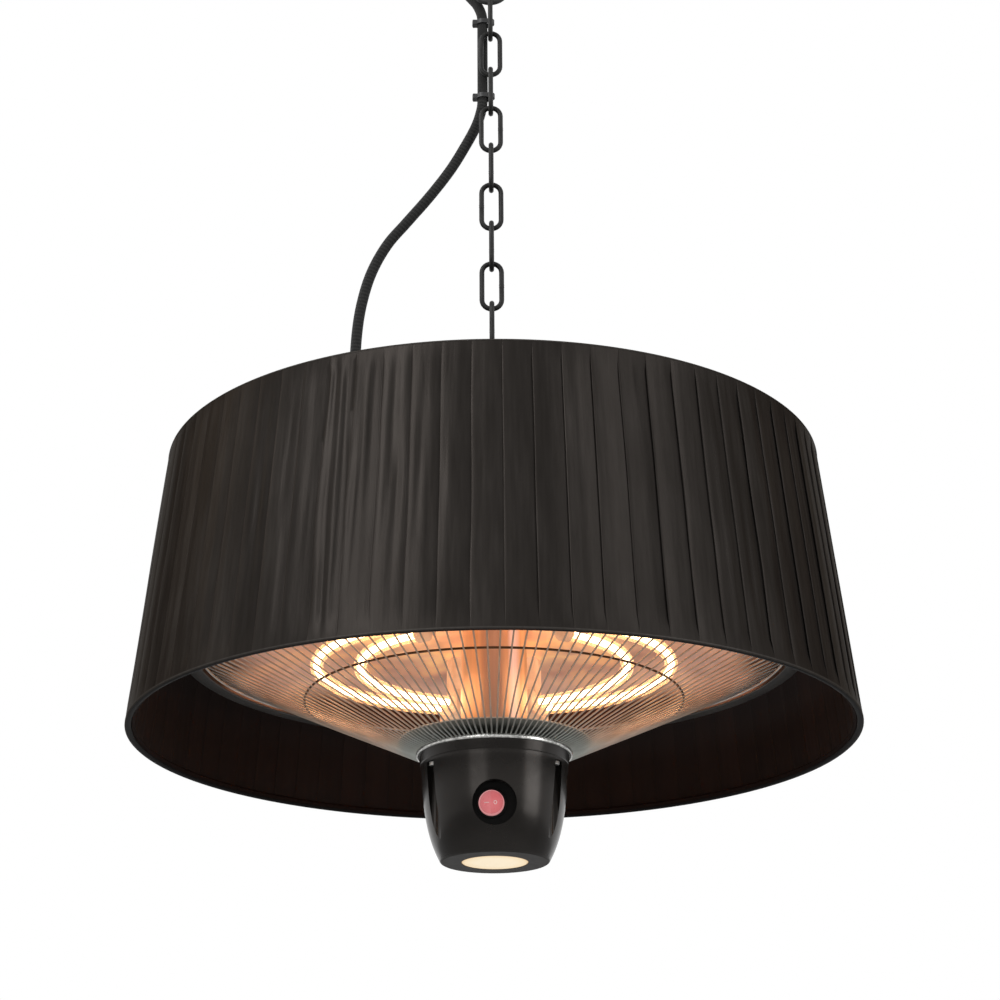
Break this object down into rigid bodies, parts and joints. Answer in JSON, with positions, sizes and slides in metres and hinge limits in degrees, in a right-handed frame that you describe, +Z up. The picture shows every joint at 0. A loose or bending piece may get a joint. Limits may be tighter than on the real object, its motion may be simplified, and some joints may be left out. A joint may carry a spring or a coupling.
{
  "type": "hanging patio heater",
  "caption": "Hanging halogen patio heater: wire grille and lamps under a pleated drum shade, hung by a chain with its mains lead, with a control cup below.",
  "frame": {"origin": "middle of the ceiling plate's top face, where it lies against the ceiling", "axes": "+Z up, out of the ceiling plate's top face; -Y towards the switch, which is the front; +X to the right seen from the front"},
  "size_m": [0.6, 0.5998, 0.892],
  "materials": {
    "black_steel": "satin black coating",
    "zinc_steel": "bright zinc plating",
    "braided_lead": "black textile braid over rubber",
    "black_nylon": "moulded, fine grain",
    "black_gloss": "moulded, glossy black",
    "charcoal_fabric": "satin ribbon laid in pleats",
    "brown_liner": "very dark red-brown lining",
    "grey_paint": "dark grey paint",
    "polished_aluminium": "polished",
    "quartz": "clear quartz tube, lit halogen filament",
    "ceramic": "unglazed white ceramic",
    "grille_wire": "bright plated wire",
    "shield_metal": "dark heat-proof coating",
    "opal_plastic": "opal diffuser, lit warm white",
    "circuit_board": "green circuit board",
    "red_plastic": "translucent red, lit"
  },
  "bodies": {
    "ceiling_mount": {"ceiling_plate": "black_steel", "ceiling_hook": "black_steel", "hook_nut": "zinc_steel", "ceiling_gland": "black_nylon", "power_cable_top": "braided_lead"},
    "upper_link": {"chain_link_01": "black_steel", "cable_tie_upper": "black_nylon", "power_cable_middle": "braided_lead"},
    "chain": {"chain_link_02": "black_steel", "chain_link_03": "black_steel", "chain_link_04": "black_steel", "chain_link_05": "black_steel", "chain_link_06": "black_steel", "chain_link_07": "black_steel", "chain_link_08": "black_steel", "chain_link_09": "black_steel", "chain_link_10": "black_steel", "chain_link_11": "black_steel", "chain_link_12": "black_steel", "chain_link_13": "black_steel", "cable_tie_lower": "black_nylon", "power_cable_lower": "braided_lead"},
    "heater": {"eye_nut": "black_steel", "tie_rod": "zinc_steel", "outer_spacer": "black_steel", "inner_spacer": "zinc_steel", "cup_nut": "zinc_steel", "shade_fabric": "charcoal_fabric", "shade_liner": "brown_liner", "shade_top_ring": "black_steel", "shade_bottom_ring": "black_steel", "shade_spider": "black_steel", "hood": "grey_paint", "cable_gland": "black_nylon", "gland_nut": "black_nylon", "reflector": "polished_aluminium", "reflector_column": "polished_aluminium", "lamp_left_inner": "quartz", "lamp_left_outer": "quartz", "lamp_right_inner": "quartz", "lamp_right_outer": "quartz", "lamp_holder_front_left": "ceramic", "lamp_holder_front_right": "ceramic", "lamp_holder_rear": "ceramic", "grille_wires": "grille_wire", "grille_rim_ring": "grille_wire", "grille_hoop": "grille_wire", "heat_shield": "shield_metal", "terminal_block": "ceramic", "thermal_cutout": "ceramic", "control_cup": "black_gloss", "cup_screw_1": "zinc_steel", "cup_screw_2": "zinc_steel", "cup_screw_3": "zinc_steel", "light_lens": "opal_plastic", "light_board": "circuit_board", "switch_bezel": "black_gloss"},
    "rocker": {"switch_rocker": "red_plastic"}
  },
  "joints": [
    {"name": "hook_swing", "type": "hinge", "parent": "ceiling_mount", "child": "upper_link", "pos_m": [0, 0, -0.079], "axis": [1, 0, 0], "range_deg": [-20, 20], "deforming": ["power_cable_top"]},
    {"name": "link_swing", "type": "hinge", "parent": "upper_link", "child": "chain", "pos_m": [0, 0, -0.11825], "axis": [0, 1, 0], "range_deg": [-20, 20], "deforming": ["power_cable_middle"]},
    {"name": "heater_swing", "type": "hinge", "parent": "chain", "child": "heater", "pos_m": [0, 0, -0.59825], "axis": [0, 1, 0], "range_deg": [-15, 15], "deforming": ["power_cable_lower"]},
    {"name": "rocker_tilt", "type": "hinge", "parent": "heater", "child": "rocker", "pos_m": [-0.0025, -0.05167, -0.855], "axis": [0, 0, 1], "range_deg": [0, 16]}
  ]
}
